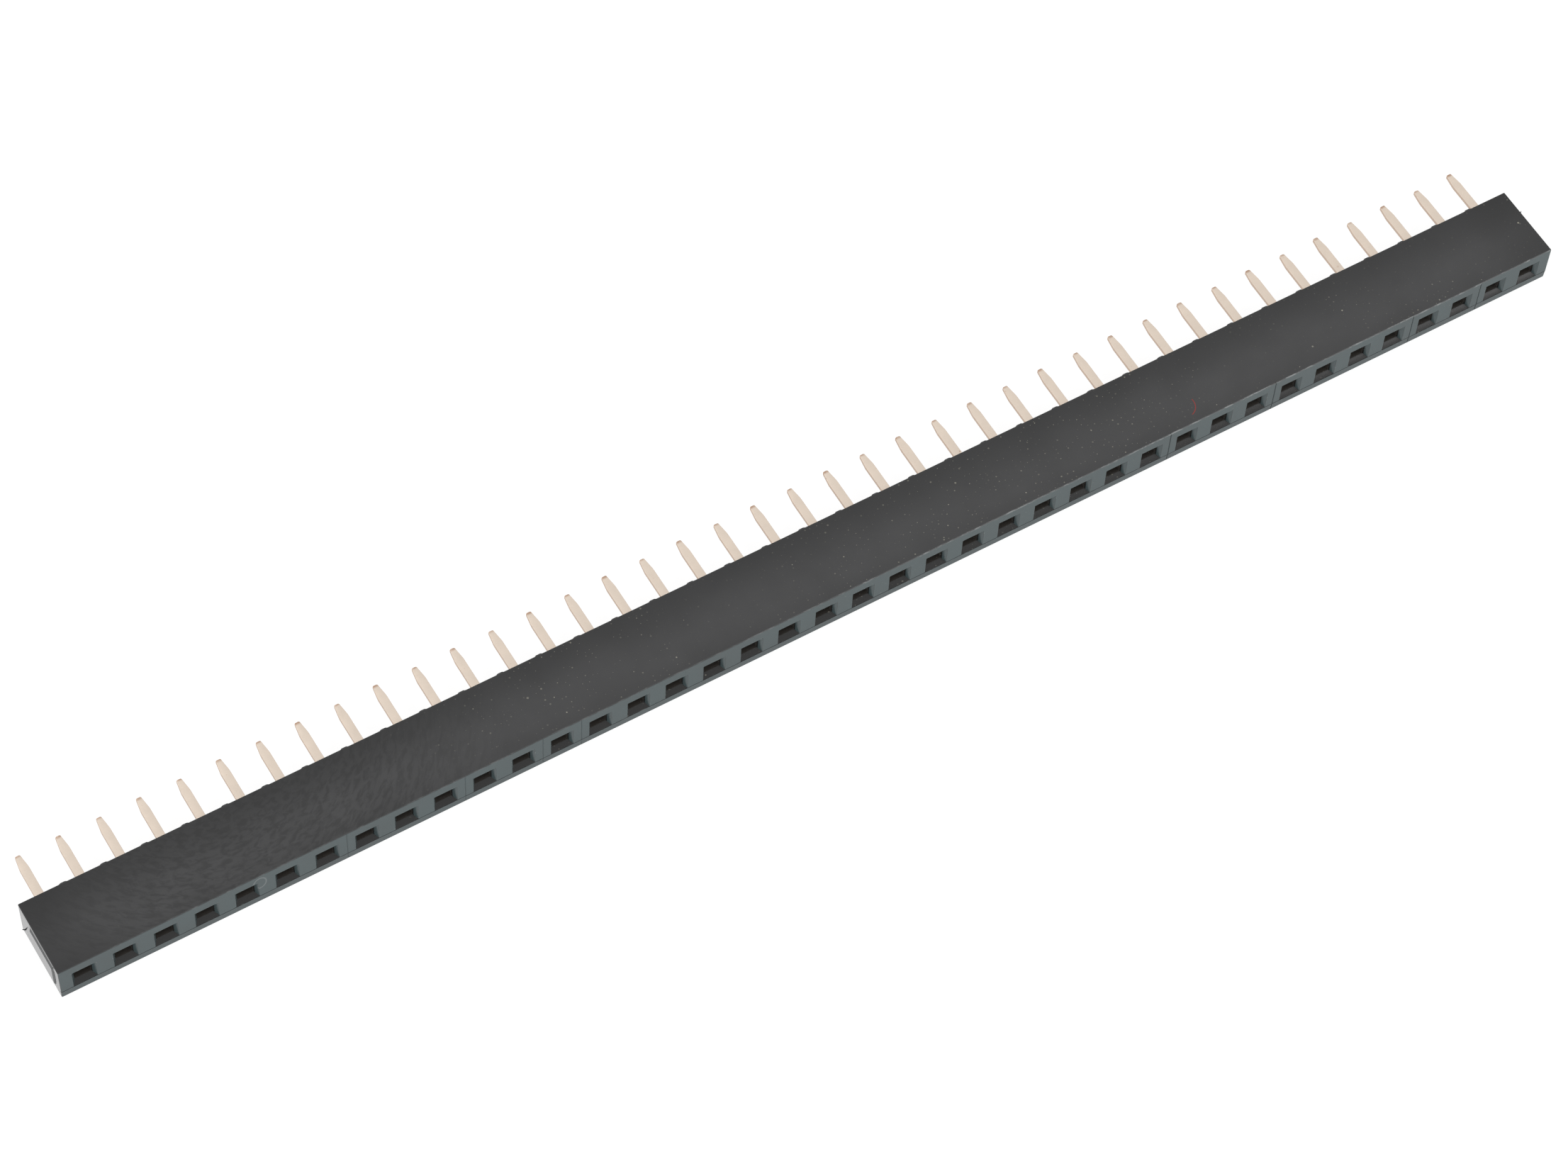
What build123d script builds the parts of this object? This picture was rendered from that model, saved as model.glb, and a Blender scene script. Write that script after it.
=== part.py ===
from build123d import *
import math
import os

# Single-row female pin header strip, straight, low profile, lying on one long face.
# X runs along the row, Y runs from the socket face (low) to the solder tails (high), and
# Z runs from the long face that it lies on (zero) to the long face that is seen.
# The origin is under the middle of the whole strip, tails included.
# Sizes are in millimetres.

# Housing
pitch = 2.0
contact_count = 40
end_allowance = 0.2
housing_height = 4.0
housing_width = 2.25
edge_break = 0.05
lip_draft = 3.5
lip_step = 0.02
standoff_width = 0.45
standoff_top = 0.2
standoff_height = 0.05
end_pad_length = 2.3
end_pad_width = 1.5
end_pad_height = 0.06
end_pad_setback = 0.55

# Lead-in funnel and the opening behind it
funnel_mouth = 1.18
funnel_throat = 0.8
funnel_depth = 0.26
socket_wall = 0.7

# Stamped contact
sheet = 0.2
tail_length = 2.8
tail_stagger = 0.04
tail_width = 0.45
tail_taper_length = 0.7
tail_tip_width = 0.26
tail_tip_corner = 0.05
tail_bend_radius = 0.16
tail_bend_length = 0.68
tail_bend_inset = 0.08
box_width = 1.0
box_height = 0.9
box_length = 0.4
box_fold_radius = 0.2
grip_inset = 0.82
grip_length = 0.55
grip_width = 1.24
barb_count = 1
barb_reach = 0.08
barb_land = 0.04
beam_root = 0.5
beam_width = 0.4
beam_gap = 0.34
beam_tip_gap = 0.64
beam_tip_length = 0.4
beam_contact_radius = 0.4
beam_taper_end = 0.3

# Fits
cavity_clearance = 0.1
beam_clearance = 0.1

# Places along Y, from the socket face to the tail tips
socket_face = -(housing_height + tail_length) / 2
throat_start = socket_face + funnel_depth
cavity_roof = socket_face + socket_wall
tail_face = socket_face + housing_height
tail_end = tail_face + tail_length
beam_tip = cavity_roof + beam_clearance
grip_end = tail_face - grip_inset
grip_start = grip_end - grip_length
box_start = grip_start - box_length
beam_contact = beam_tip + beam_tip_length

# Places along X and Z
body_length = pitch * contact_count + 2 * end_allowance
middle = housing_width / 2
lip_level = middle - funnel_mouth / 2 - lip_step
cavity_width = box_width + 2 * cavity_clearance
cavity_height = box_height + 2 * cavity_clearance
cavity_floor = middle - cavity_height / 2
entry_width = grip_width + 2 * barb_reach
web_level = cavity_floor + sheet / 2
cell_centres = [(index - (contact_count - 1) / 2) * pitch for index in range(contact_count)]
cell_borders = [(index - contact_count / 2) * pitch for index in range(1, contact_count)]


def span(width, start, end, height, level):
    """Box on the contact's centre line: its width along X, from start to end along Y."""
    return Pos(0, (start + end) / 2, level) * Box(width, end - start, height)


def body_block():
    """The moulded block: its cross-section, with the drafted lip, carried along the row."""
    lip_recess = lip_level * math.tan(math.radians(lip_draft))
    corners = [
        (socket_face + lip_recess, 0),
        (tail_face, 0),
        (tail_face, housing_width),
        (socket_face, housing_width),
    ]
    outline = Polygon(*corners, (socket_face, lip_level), align=None)
    sharp = [vertex for vertex in outline.vertices() if abs(vertex.Y - lip_level) > lip_level / 2]
    section = chamfer(sharp, edge_break)
    return extrude(Plane.YZ * section, body_length / 2, both=True)


def standoff():
    """One low rib with sloping flanks across the tail face, which stands on the board."""
    foot = standoff_width / 2
    top = standoff_top / 2
    crest = tail_face + standoff_height
    profile = Polygon((-foot, tail_face), (foot, tail_face), (top, crest), (-top, crest), align=None)
    rib_length = housing_width - 2 * edge_break
    return Pos(0, 0, edge_break) * extrude(profile, rib_length)


def end_pad(side):
    """The shallow raised pad on one end face, where the mould's end slide parts."""
    start = socket_face + end_pad_setback
    pad = span(end_pad_height, start, start + end_pad_length, end_pad_width, middle)
    return Pos(side * (body_length + end_pad_height) / 2, 0, 0) * pad


def funnel():
    """The pyramid-shaped lead-in, as the overlap of one tapered slot along X and one along Z."""
    mouth = funnel_mouth / 2
    throat = funnel_throat / 2
    outline = [(-mouth, socket_face), (mouth, socket_face), (throat, throat_start), (-throat, throat_start)]
    plan = extrude(Polygon(*outline, align=None), housing_width)
    side_outline = [(y, middle + z) for z, y in outline]
    side_view = extrude(Plane.YZ * Polygon(*side_outline, align=None), pitch / 2, both=True)
    return plan & side_view


def socket_void():
    """What one socket takes out of the body: funnel, throat, cavity and the wider grip entry."""
    throat = span(funnel_throat, throat_start, cavity_roof, funnel_throat, middle)
    cavity = span(cavity_width, cavity_roof, grip_start, cavity_height, middle)
    entry = span(entry_width, grip_start, tail_face, cavity_height, middle)
    return funnel() + throat + cavity + entry


def housing():
    """The whole moulded housing as one solid."""
    block = body_block() + [end_pad(side) for side in (-1, 1)]
    block += [Pos(border, 0, 0) * standoff() for border in cell_borders]
    void = socket_void()
    return block - [Pos(centre, 0, 0) * void for centre in cell_centres]


def grip_edge():
    """One side of the grip seen from above: barbs that slide in and hold against a pull."""
    half = grip_width / 2
    step = grip_length / barb_count
    points = []
    for index in range(barb_count):
        start = grip_start + index * step
        barb_top = start + step - barb_land
        points += [
            (half, start),
            (half + barb_reach, barb_top),
            (half + barb_reach, start + step),
        ]
    return points


def blank_outline(tip):
    """The stamping seen from above: web, grip with barbs, tail and tapered tip."""
    tail_half = tail_width / 2
    right = [(box_width / 2, box_start), (box_width / 2, grip_start)]
    right += grip_edge()
    right += [
        (tail_half, grip_end),
        (tail_half, tip - tail_taper_length),
        (tail_tip_width / 2, tip),
    ]
    left = [(-x, y) for x, y in reversed(right)]
    outline = Polygon(*right, *left, align=None)
    tip_corners = outline.vertices().group_by(Axis.Y)[-1]
    return chamfer(tip_corners, tail_tip_corner)


def bent_strip(tip):
    """The sheet as bent: flat along the web, jogged up to the middle, then flat to the tip."""
    bend_end = tail_face - tail_bend_inset
    path = FilletPolyline(
        (box_start, web_level),
        (bend_end - tail_bend_length, web_level),
        (bend_end, middle),
        (tip, middle),
        radius=tail_bend_radius,
    )
    return extrude(Plane.YZ * trace(path, sheet), entry_width / 2, both=True)


def tail_and_web(tip):
    """The bent sheet cut to the stamping's outline."""
    return bent_strip(tip) & extrude(blank_outline(tip), housing_width)


def box_section():
    """The folded channel behind the beams: web and two side walls with rounded folds."""
    box_level = cavity_floor + box_height / 2
    plane = Plane((0, box_start, box_level), x_dir=(1, 0, 0), z_dir=(0, 1, 0))
    outer = Rectangle(box_width, box_height)
    inner = Pos(0, -sheet) * Rectangle(box_width - 2 * sheet, box_height)
    channel = plane * (outer - inner)
    folded = extrude(channel, box_length)
    lowest = folded.faces().sort_by(Axis.Z)[0]
    fold_edges = lowest.edges().filter_by(Axis.Y)
    return fillet(fold_edges, box_fold_radius)


def beam(side):
    """One spring beam: it leans in to the contact point and flares out at its tip."""
    root_gap = box_width / 2 - sheet
    inner = [
        (root_gap, box_start),
        (beam_gap / 2, beam_contact),
        (beam_tip_gap / 2, beam_tip),
    ]
    outer = [(x + sheet, y) for x, y in reversed(inner)]
    outline = Polygon(*inner, *outer, align=None)
    contact_corner = outline.vertices().sort_by(Axis.X)[0]
    plan = extrude(fillet(contact_corner, beam_contact_radius), housing_width)
    root_half = beam_root / 2
    tip_half = beam_width / 2
    taper_end = beam_contact + beam_taper_end
    edge = Polygon(
        (box_start, middle - root_half),
        (box_start, middle + root_half),
        (taper_end, middle + tip_half),
        (beam_tip, middle + tip_half),
        (beam_tip, middle - tip_half),
        (taper_end, middle - tip_half),
        align=None,
    )
    side_view = extrude(Plane.YZ * edge, box_width, both=True)
    shape = plan & side_view
    return shape if side > 0 else mirror(shape, Plane.YZ)


def contact(tip):
    """One stamped contact on the housing's centre line: tail, web, folded channel and beams."""
    return tail_and_web(tip) + box_section() + beam(1) + beam(-1)


os.makedirs("parts", exist_ok=True)
export_step(housing(), "parts/housing.step")
# The contacts are cut in pairs, so every second tail is a little shorter.
pair = [contact(tail_end - tail_stagger), contact(tail_end)]
for index, centre in enumerate(cell_centres):
    placed = Pos(centre, 0, 0) * pair[index % 2]
    export_step(placed, f"parts/contact_{index + 1:02d}.step")
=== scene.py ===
import math

import bmesh
import bpy
import numpy as np
from bpy.props import FloatProperty, FloatVectorProperty, PointerProperty
from mathutils import Matrix, Vector


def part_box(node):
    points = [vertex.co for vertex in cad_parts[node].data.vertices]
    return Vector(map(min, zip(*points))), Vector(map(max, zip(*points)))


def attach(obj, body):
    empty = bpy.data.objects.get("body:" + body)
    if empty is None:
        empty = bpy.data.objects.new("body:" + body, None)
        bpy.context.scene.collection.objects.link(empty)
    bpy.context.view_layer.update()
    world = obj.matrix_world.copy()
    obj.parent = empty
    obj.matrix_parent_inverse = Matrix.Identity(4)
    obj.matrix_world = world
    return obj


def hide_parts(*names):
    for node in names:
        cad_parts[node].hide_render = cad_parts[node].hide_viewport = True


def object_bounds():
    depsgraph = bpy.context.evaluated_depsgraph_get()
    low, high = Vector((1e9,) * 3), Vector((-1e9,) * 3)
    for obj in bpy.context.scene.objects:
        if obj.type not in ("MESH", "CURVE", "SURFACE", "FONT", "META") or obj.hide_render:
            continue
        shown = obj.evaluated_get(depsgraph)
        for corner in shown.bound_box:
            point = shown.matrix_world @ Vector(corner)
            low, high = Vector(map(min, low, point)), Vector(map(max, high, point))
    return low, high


bl_info = {
    "name": "Female pin header strip",
    "version": (1, 0, 0),
    "blender": (4, 5, 0),
    "location": "3D View > Sidebar > Header Strip",
    "description": "Builds a moulded socket strip with stamped contacts, and a plain stage for it",
    "category": "Add Mesh",
}

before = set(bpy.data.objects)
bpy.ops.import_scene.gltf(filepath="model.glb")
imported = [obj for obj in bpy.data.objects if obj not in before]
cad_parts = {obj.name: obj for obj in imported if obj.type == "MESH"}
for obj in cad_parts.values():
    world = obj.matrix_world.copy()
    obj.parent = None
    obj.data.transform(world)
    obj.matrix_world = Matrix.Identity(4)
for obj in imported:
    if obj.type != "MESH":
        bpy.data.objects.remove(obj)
CAD_LOW, CAD_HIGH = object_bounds()
BODY_LOW, BODY_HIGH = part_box("housing")

MM = 0.001
BODY_NAME = "root"
CONTACT_NAMES = sorted(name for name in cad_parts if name.startswith("contact_"))
COUNT = len(CONTACT_NAMES)
END_PAD_HEIGHT = 0.06 * MM
STANDOFF_HEIGHT = 0.05 * MM
SOCKET_FACE = BODY_LOW.y
TAIL_FACE = BODY_HIGH.y - STANDOFF_HEIGHT
BODY_END = BODY_HIGH.x - END_PAD_HEIGHT
BODY_TOP = BODY_HIGH.z
MIDDLE = BODY_TOP / 2
# Grid lines on each side of a square socket
SIDE_LINES = 7
# Distance between two grid lines that stand for one crisp edge
CRISP = 0.01 * MM
# How far behind the socket face its lean has faded out
LEAN_FADE = 0.3 * MM
# How far to both sides the bends of a spring beam are softened
BEND_REACH = 0.09 * MM
# Distance under which two points are one, slack when places are compared, and sharpest smooth edge
SAME_PLACE = 2e-7
SLACK = 1e-9
SHARP_ANGLE = math.radians(34)
# Borders between sockets, counted from the left, where two mould inserts met
WITNESS_BORDERS = (7, 10, 12, 13, 29, 32, 36, 38)
# Millimetres: middle of the circles of the rubbed strokes painted as sheen, of the hair's loop
# and of the fibre's arc
RUBBED_SHEEN_CENTRE = (-30.0, 5.0)
HAIR_PLACE = (-30.35, -3.4, 1.65)
FIBRE_PLACE = (19.3, -2.3, 2.25)
# Flakes left by the mould: root in millimetres, curl, way out and size
BURRS = (
    ((-40.2, 0.2, 0.5), (0.0, 0.3, 0.95), (-1.0, 0.0, 0.0), 0.17),
    ((40.19, -0.80, 2.22), (0.0, 0.8, -0.6), (0.8, 0.0, 0.6), 0.14),
)
# Softboxes: name, place in metres and power in watts
LAMPS = (
    ("softbox_left", (-0.48, -0.15, 0.32), 1.1),
    ("softbox_right", (0.45, -0.30, 0.35), 0.8),
    ("softbox_back", (-0.15, 0.50, 0.25), 0.5),
)
SOFTBOX_WIDTH = 0.3
FLOOR_WIDTH = 3.0
# Grey of the floor where it is seen, and its own light, which lifts it to white
SEEN_FLOOR_TONE = 0.25
SEEN_FLOOR_GLOW = 0.84


def length(name, description, millimetres):
    """A length that the user may change, kept in metres and shown in the scene's unit."""
    default = millimetres * MM
    return FloatProperty(
        name=name, description=description, default=default, min=0.0, unit="LENGTH", precision=6
    )


def angle(name, description, degrees):
    """An angle that the user may change, kept in radians and shown in the scene's unit."""
    default = math.radians(degrees)
    return FloatProperty(
        name=name, description=description, default=default, subtype="ANGLE", unit="ROTATION"
    )


def tone(name, description, colour):
    """A linear colour that the user may change."""
    return FloatVectorProperty(
        name=name, description=description, default=colour, min=0.0, max=1.0, subtype="COLOR"
    )


def share(name, description, value, highest=1.0):
    """A plain number without a unit that the user may change."""
    return FloatProperty(
        name=name, description=description, default=value, min=0.0, max=highest, subtype="FACTOR"
    )


class HousingSizes(bpy.types.PropertyGroup):
    """Sizes of the moulded housing."""

    pitch: length("Pitch", "Distance between neighbouring sockets", 2.0)
    edge_radius: length("Edge radius", "Rounding of the block's long and upright edges", 0.045)
    funnel_mouth: length("Funnel mouth", "Width of the lead-in at the socket face", 1.18)
    funnel_throat: length("Funnel throat", "Width of the opening behind the lead-in", 0.8)
    funnel_depth: length("Funnel depth", "Depth of the lead-in", 0.26)
    funnel_break: length("Funnel break", "Rounding where the funnel meets the socket face", 0.012)
    socket_wall: length("Socket wall", "Thickness of the wall in front of the contact", 0.7)
    cavity_width: length("Cavity width", "Width of the room round the spring beams", 1.2)
    cavity_height: length("Cavity height", "Height of the cavity", 1.1)
    entry_width: length("Entry width", "Width where the grip of the contact goes in", 1.4)
    entry_depth: length("Entry depth", "How deep the wide entry runs from the tail face", 1.37)
    lip_level: length("Lip level", "Height of the parting line over the resting face", 0.515)
    lip_draft: angle("Lip draft", "Lean of the socket face under the parting line", 3.5)
    lip_step: length("Lip step", "How far the socket face steps back at the parting line", 0.006)
    standoff_foot: length("Standoff foot", "Half of a standoff's width at the tail face", 0.225)
    standoff_crest: length("Standoff crest", "Half of a standoff's width at its top", 0.1)
    pad_start: length("End pad start", "From the socket face to the end pad", 0.55)
    pad_length: length("End pad length", "Length of the end pad along the depth", 2.3)
    pad_height: length("End pad height", "Height of the end pad on the end face", 1.5)
    pad_ramp: length("End pad ramp", "Width of the soft slope round the end pad", 0.08)
    witness_depth: length("Witness depth", "Depth of the hairlines between mould inserts", 0.01)


class ContactSizes(bpy.types.PropertyGroup):
    """Sizes of the stamped contacts."""

    sheet: length("Sheet", "Thickness of the strip metal", 0.2)
    edge_radius: length("Edge radius", "Rounding left by the press at the cut edges", 0.028)
    tail_width: length("Tail width", "Width of the solder tail", 0.45)
    taper_length: length("Taper length", "Length of the tapered end of the tail", 0.7)
    tip_width: length("Tip width", "Width of the tail's blunt end", 0.26)
    tip_corner: length("Tip corner", "Rounding of the blunt end", 0.05)
    grip_inset: length("Grip inset", "From the tail face to the end of the grip", 0.82)
    grip_length: length("Grip length", "Length of the grip", 0.55)
    grip_width: length("Grip width", "Width of the grip between its barbs", 1.24)
    barb_reach: length("Barb reach", "How far a barb stands out", 0.08)
    barb_land: length("Barb land", "Length of a barb's straight crest", 0.04)
    web_level: length("Web level", "Height of the web's middle over the resting face", 0.675)
    bend_inset: length("Bend inset", "From the tail face to the end of the jog", 0.08)
    bend_length: length("Bend length", "Length of the jog", 0.68)
    box_width: length("Channel width", "Width of the folded channel", 1.0)
    box_height: length("Channel height", "Height of the folded channel", 0.9)
    box_length: length("Channel length", "Length of the folded channel", 0.4)
    beam_root: length("Beam root", "Height of a beam where it leaves the channel", 0.5)
    beam_width: length("Beam width", "Height of a beam at its tip", 0.4)
    beam_gap: length("Beam gap", "Gap between the beams where they grip a pin", 0.34)
    beam_tip_gap: length("Beam tip gap", "Gap between the flared tips", 0.64)
    beam_tip_length: length("Beam tip length", "From the tip back to the contact point", 0.4)
    beam_clearance: length("Beam clearance", "From the cavity's front wall to the tips", 0.1)


class FinishLook(bpy.types.PropertyGroup):
    """Colours and wear of the materials."""

    plastic: tone("Plastic", "Moulded charcoal thermoplastic", (0.040, 0.040, 0.041))
    # Painted reflection: the socket face is paler and cooler than the rest of the plastic.
    socket_face: tone("Socket face", "Paler, cooler tone of the socket face: a painted reflection", (0.056, 0.078, 0.081))
    # Painted shade: near-black colour for the funnels' upper and lower slopes.
    bore: tone("Bore", "Painted shade on the funnels' upper and lower slopes", (0.006, 0.006, 0.006))
    # Painted light: lighter, warmer colour for the sockets' walls behind the funnels.
    throat: tone("Throat", "Painted light on the sockets' walls behind the funnels", (0.052, 0.047, 0.042))
    plastic_worn: tone("Rubbed plastic", "Rubbed edges and nicks", (0.30, 0.31, 0.31))
    dust: tone("Dust", "Pale specks lying on the plastic", (0.44, 0.42, 0.34))
    dust_amount: share("Dust amount", "How clearly the specks show", 1.0)
    metal: tone("Metal", "Satin plating on the contacts", (0.70, 0.605, 0.515))
    metal_bare_and_shade: tone("Bare metal and shade", "Copper alloy where the plating ends, and painted shade at tips and edges", (0.42, 0.27, 0.19))
    fibre: tone("Fibre", "Tiny red textile fibre", (0.35, 0.03, 0.02))


class StageLook(bpy.types.PropertyGroup):
    """Camera, floor and lamps."""

    target: FloatVectorProperty(
        name="Camera target",
        description="Point that the middle of the picture looks at",
        default=(-1.983 * MM, -1.215 * MM, 1.125 * MM),
        unit="LENGTH",
        precision=6,
    )
    distance: length("Camera distance", "From the target to the camera", 218.98)
    azimuth: angle("Camera azimuth", "Turn round the strip, zero looking along the depth", -34.05)
    elevation: angle("Camera elevation", "Height of the camera over the horizon", 57.7255)
    roll: angle("Camera roll", "Turn of the camera about its own axis", 3.98)
    lens: FloatProperty(
        name="Lens", description="Focal length on a 36 mm sensor", default=108.216, unit="CAMERA"
    )
    world_level: share("World level", "Brightness of the room all round", 0.66, 4.0)
    floor_tone: tone("Floor", "Pale floor as it lights the strip", (0.80, 0.86, 0.88))


def add_piece(name, mesh, material, nodes):
    """Links a finished mesh with its material to the strip, and hides the nodes that it stands for.
    """
    piece = bpy.data.objects.new(name, mesh)
    bpy.context.scene.collection.objects.link(piece)
    mesh.materials.append(material)
    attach(piece, BODY_NAME)
    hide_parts(*nodes)


def grid_quads(index):
    """Quads between neighbouring rows and columns of an array of point numbers."""
    corners = (index[:-1, :-1], index[1:, :-1], index[1:, 1:], index[:-1, 1:])
    return np.stack(corners, axis=-1)


class Patchwork:
    """Grids of points collected into one mesh."""

    def __init__(self):
        self.points = []
        self.faces = []
        self.count = 0

    def add(self, points, keep=None):
        """Adds a grid of points, rows by columns by three, with the quads that keep marks."""
        rows, columns = points.shape[:2]
        index = self.count + np.arange(rows * columns).reshape(rows, columns)
        quads = grid_quads(index)
        quads = quads.reshape(-1, 4) if keep is None else quads[keep]
        self.points.append(points.reshape(-1, 3))
        self.faces.append(quads)
        self.count += rows * columns

    def mesh(self, name):
        """The grids as one mesh, with doubled points joined, smooth between its sharp edges."""
        mesh = bpy.data.meshes.new(name)
        points, faces = np.concatenate(self.points), np.concatenate(self.faces)
        mesh.from_pydata(points.tolist(), [], faces.tolist())
        work = bmesh.new()
        work.from_mesh(mesh)
        bmesh.ops.remove_doubles(work, verts=work.verts, dist=SAME_PLACE)
        bmesh.ops.recalc_face_normals(work, faces=work.faces)
        work.to_mesh(mesh)
        work.free()
        mesh.shade_smooth()
        mesh.set_sharp_from_angle(angle=SHARP_ANGLE)
        mesh.validate()
        mesh.update()
        return mesh


def as_points(x, y, z):
    """One array of points from three coordinates, any of which may be shared by many points."""
    return np.stack(np.broadcast_arrays(x, y, z), axis=-1)


def smooth_step(low, high, values):
    """Zero under low, one over high, and a soft S between them."""
    part = np.clip((values - low) / (high - low), 0.0, 1.0)
    return part * part * (3.0 - 2.0 * part)


def edge_lines(radius):
    """Distances from an edge at which a quarter round of this radius turns by 15 degrees."""
    turns = np.radians([45.0, 30.0, 15.0, 0.0])
    return radius * (1.0 - np.tan(turns))


def socket_centres(pitch):
    """Places of the sockets' centre lines along the row."""
    return (np.arange(COUNT) - (COUNT - 1) / 2) * pitch


def pad_borders(sizes):
    """Where an end pad starts and ends along the depth, and its lowest and highest level."""
    start = SOCKET_FACE + sizes.pad_start
    low = MIDDLE - sizes.pad_height / 2
    return start, start + sizes.pad_length, low, BODY_TOP - low


def housing_lines(sizes):
    """Grid lines of the block along each axis, and the numbers of those round the sockets.

    The socket face and the tail face have the same number of lines, but each has its own places,
    because the funnels' mouths and the tail entries differ in size.
    """
    edge = edge_lines(sizes.edge_radius)
    past_edge = 1.4 * sizes.edge_radius
    mouth = sizes.funnel_mouth / 2 + sizes.funnel_break
    across = np.linspace(-1.0, 1.0, SIDE_LINES)
    half = sizes.pitch / 2
    from_border = np.array([0.02, 0.08, 0.2]) * MM
    front_side = np.append(half - from_border, mouth + CRISP)
    tail_side = half - np.linspace(sizes.standoff_crest, sizes.standoff_foot, 4)
    entry = sizes.entry_width / 2
    front_cell = np.concatenate(([-half], -front_side, mouth * across, front_side[::-1]))
    tail_cell = np.concatenate(([-half], -tail_side, entry * across, tail_side[::-1]))
    centres = socket_centres(sizes.pitch)
    last = COUNT * half
    lead = np.concatenate((BODY_END - edge, [BODY_END - 1.5 * sizes.edge_radius]))
    ends = np.concatenate((-lead, lead[::-1]))
    left, right = np.split(ends, 2)
    front_x = np.concatenate((left, (centres[:, None] + front_cell).ravel(), [last], right))
    tail_x = np.concatenate((left, (centres[:, None] + tail_cell).ravel(), [last], right))
    start, end, pad_low, _ = pad_borders(sizes)
    pad_ramp = sizes.pad_ramp
    low = np.concatenate((edge, [past_edge, pad_low, pad_low + pad_ramp]))
    high = BODY_TOP - low[::-1]
    front_low = [sizes.lip_level - CRISP, sizes.lip_level]
    front_high = [MIDDLE + mouth + CRISP]
    front_z = np.concatenate((low, front_low, MIDDLE + mouth * across, front_high, high))
    open_half = sizes.cavity_height / 2
    tail_low = np.linspace(pad_low + pad_ramp, MIDDLE - open_half, 4)[1:3]
    tail_high = [(MIDDLE + open_half + high[0]) / 2]
    tail_z = np.concatenate((low, tail_low, MIDDLE + open_half * across, tail_high, high))
    pad_y = [start, start + pad_ramp, end - pad_ramp, end]
    fade = [SOCKET_FACE + past_edge, SOCKET_FACE + LEAN_FADE]
    back = [TAIL_FACE - past_edge]
    depth = np.concatenate((SOCKET_FACE + edge, fade, pad_y, back, TAIL_FACE - edge[::-1]))
    first_hole = len(left) + 1 + len(front_side)
    holes = first_hole + np.arange(COUNT) * len(front_cell)
    opening = np.arange(SIDE_LINES - 1)
    hole_x = (holes[:, None] + opening).ravel()
    hole_z = len(low) + len(front_low) + opening
    return front_x, tail_x, front_z, tail_z, depth, hole_x, hole_z


def shape_block(points, sizes):
    """Rounds a sharp block and raises its details.

    Each point is pulled to the inner block, which is smaller by the edge radius, and pushed out
    again by that radius. Then the socket face leans back under the parting line, the tail face
    gets a standoff at every border between sockets, and both end faces get their pads.
    """
    radius = sizes.edge_radius
    low = np.array([-BODY_END, SOCKET_FACE, 0.0])
    high = np.array([BODY_END, TAIL_FACE, BODY_TOP])
    inner = np.clip(points, low + radius, high - radius)
    reach = points - inner
    size = np.linalg.norm(reach, axis=-1, keepdims=True)
    shaped = inner + radius * reach / np.maximum(size, 1e-12)
    x, y, z = shaped[..., 0], shaped[..., 1], shaped[..., 2]
    on_front = points[..., 1] <= SOCKET_FACE + SLACK
    on_tail = points[..., 1] >= TAIL_FACE - SLACK
    on_end = np.abs(points[..., 0]) >= BODY_END - SLACK
    from_fade = SOCKET_FACE + LEAN_FADE - points[..., 1]
    near_front = np.clip(from_fade / (LEAN_FADE - radius), 0.0, 1.0)
    under_lip = sizes.lip_level - z
    lean = np.maximum(under_lip, 0.0) * math.tan(sizes.lip_draft)
    step = sizes.lip_step * smooth_step(0.0, CRISP, under_lip)
    border = np.abs((x / sizes.pitch + 0.5) % 1.0 - 0.5) * sizes.pitch
    rise = 1.0 - smooth_step(sizes.standoff_crest, sizes.standoff_foot, border)
    between = np.abs(x) < (COUNT - 1) * sizes.pitch / 2
    on_flat = (z > radius * 0.99) & (z < BODY_TOP - radius * 0.99)
    standoffs = STANDOFF_HEIGHT * rise * (on_tail & on_flat & between)
    borders = (np.array(WITNESS_BORDERS) - COUNT / 2) * sizes.pitch
    on_border = np.any(np.abs(x[..., None] - borders) < CRISP / 2, axis=-1)
    hairlines = sizes.witness_depth * (on_border & on_front)
    shaped[..., 1] = y + (lean + step) * near_front + standoffs + hairlines
    start, end, pad_low, pad_high = pad_borders(sizes)
    ramp = sizes.pad_ramp
    along = smooth_step(start, start + ramp, y) - smooth_step(end - ramp, end, y)
    upright = smooth_step(pad_low, pad_low + ramp, z) - smooth_step(pad_high - ramp, pad_high, z)
    shaped[..., 0] = x + np.sign(x) * END_PAD_HEIGHT * along * upright * on_end
    return shaped


def socket_stations(sizes):
    """Half width, half height and depth of one socket's walls, from the mouth to the tail face."""
    mouth = sizes.funnel_mouth / 2
    throat = sizes.funnel_throat / 2
    slant = math.atan2(mouth - throat, sizes.funnel_depth)
    soft = sizes.funnel_break
    turn = np.linspace(0.0, 1.0, 4)[:, None]
    first = np.array([mouth + soft, 0.0])
    corner = np.array([mouth, 0.0])
    last = np.array([mouth - soft * math.sin(slant), soft * math.cos(slant)])
    lip = (1 - turn) ** 2 * first + 2 * turn * (1 - turn) * corner + turn**2 * last
    stations = [(half, half, SOCKET_FACE + depth) for half, depth in lip]
    throat_start = SOCKET_FACE + sizes.funnel_depth
    before_throat = throat + 0.02 * MM
    roof = SOCKET_FACE + sizes.socket_wall
    entry = TAIL_FACE - sizes.entry_depth
    wide, tall = sizes.cavity_width / 2, sizes.cavity_height / 2
    stations += [
        (before_throat, before_throat, throat_start - 0.03 * MM),
        (throat, throat, throat_start + CRISP),
        (throat, throat, roof),
        (wide, tall, roof),
        (wide, tall, entry),
        (sizes.entry_width / 2, tall, entry),
        (sizes.entry_width / 2, tall, TAIL_FACE),
    ]
    return np.array(stations)


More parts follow.
